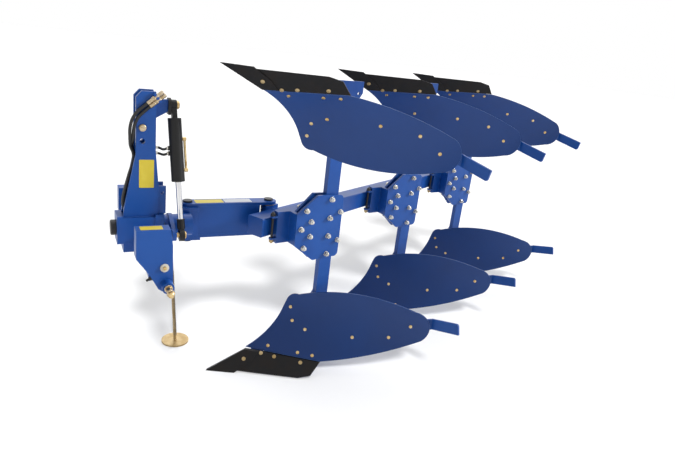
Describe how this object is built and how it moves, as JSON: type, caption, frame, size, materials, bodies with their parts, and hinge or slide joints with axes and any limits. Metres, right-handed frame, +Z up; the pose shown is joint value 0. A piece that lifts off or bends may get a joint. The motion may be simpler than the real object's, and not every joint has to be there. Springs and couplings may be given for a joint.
{
  "type": "reversible mouldboard plough",
  "caption": "Mounted reversible mouldboard plough with mirrored pairs of bodies on a diagonal square beam, a turnover cylinder on the mast and a folding screw stand.",
  "frame": {"origin": "floor level, under the middle of the plough's overall box", "axes": "+X to the rear along the turnover axis, +Y to the right of travel, +Z up; the plough bodies travel along a line yawed 10 degrees from -X"},
  "size_m": [3.3694, 1.7719, 1.65],
  "materials": {
    "share_steel": "worn dark brown",
    "bolt_black": "semi-gloss black",
    "zinc_yellow": "yellow zinc plate",
    "cylinder_black": "satin black",
    "rod_chrome": "polished",
    "stand_zinc": "zinc plate",
    "shaft_steel": "turned",
    "board_blue": "gloss blue",
    "frame_blue": "gloss blue"
  },
  "bodies": {
    "headstock": {"axle_housing": "frame_blue", "crossbeam": "frame_blue", "cylinder_arm": "frame_blue", "cylinder_ear": "cylinder_black", "cylinder_top_pin": "zinc_yellow", "hitch_bracket_left": "frame_blue", "hitch_bracket_right": "frame_blue", "lower_link_pin_left": "zinc_yellow", "lower_link_pin_right": "zinc_yellow", "mast_back_plate": "frame_blue", "mast_gussets": "frame_blue", "mast_plate_left": "frame_blue", "mast_plate_right": "frame_blue", "top_link_pin": "zinc_yellow"},
    "turnover": {"beam_end_caps": "frame_blue", "clamp_block_1": "frame_blue", "clamp_block_2": "frame_blue", "clamp_block_3": "frame_blue", "clamp_plates_1": "frame_blue", "clamp_plates_2": "frame_blue", "clamp_plates_3": "frame_blue", "landsides_lower": "frame_blue", "landsides_upper": "frame_blue", "leg_lower_1": "frame_blue", "leg_lower_2": "frame_blue", "leg_lower_3": "frame_blue", "leg_upper_1": "frame_blue", "leg_upper_2": "frame_blue", "leg_upper_3": "frame_blue", "link_flanges": "frame_blue", "link_pins": "bolt_black", "link_webs": "frame_blue", "main_beam": "frame_blue", "mouldboard_lower_1": "board_blue", "mouldboard_lower_2": "board_blue", "mouldboard_lower_3": "board_blue", "mouldboard_upper_1": "board_blue", "mouldboard_upper_2": "board_blue", "mouldboard_upper_3": "board_blue", "pivot_washers": "stand_zinc", "shaft_nut": "bolt_black", "share_lower_1": "share_steel", "share_lower_2": "share_steel", "share_lower_3": "share_steel", "share_upper_1": "share_steel", "share_upper_2": "share_steel", "share_upper_3": "share_steel", "stand_bracket": "frame_blue", "stand_pin": "stand_zinc", "tail_bars_lower": "frame_blue", "tail_bars_upper": "frame_blue", "turnover_crank": "frame_blue", "turnover_hub": "frame_blue", "turnover_shaft": "shaft_steel"},
    "cylinder": {"cylinder_barrel": "cylinder_black", "cylinder_pipe": "zinc_yellow"},
    "rod": {"cylinder_rod": "rod_chrome", "rod_eye": "cylinder_black", "crank_pin": "zinc_yellow"},
    "stand": {"stand_leg": "stand_zinc"}
  },
  "joints": [
    {"name": "turnover", "type": "hinge", "parent": "headstock", "child": "turnover", "pos_m": [-1.2966, -0.1937, 0.825], "axis": [-1, 0, 0], "range_deg": [0, 180]},
    {"name": "cylinder_pivot", "type": "hinge", "parent": "headstock", "child": "cylinder", "pos_m": [-1.3966, -0.1937, 1.43], "axis": [1, 0, 0], "range_deg": [-0.6, 21.8]},
    {"name": "rod_slide", "type": "slide", "parent": "cylinder", "child": "rod", "axis": [0.0476, -0.184, -0.9818], "range_m": [-0.141, 0]},
    {"name": "stand_fold", "type": "hinge", "parent": "turnover", "child": "stand", "pos_m": [-1.3506, 0.0643, 0.675], "axis": [0, -1, 0], "range_deg": [0, 90]}
  ],
  "couplings": [
    {"joint": "cylinder_pivot", "follows": "rod_slide", "rad_per_m": -0.3095}
  ]
}
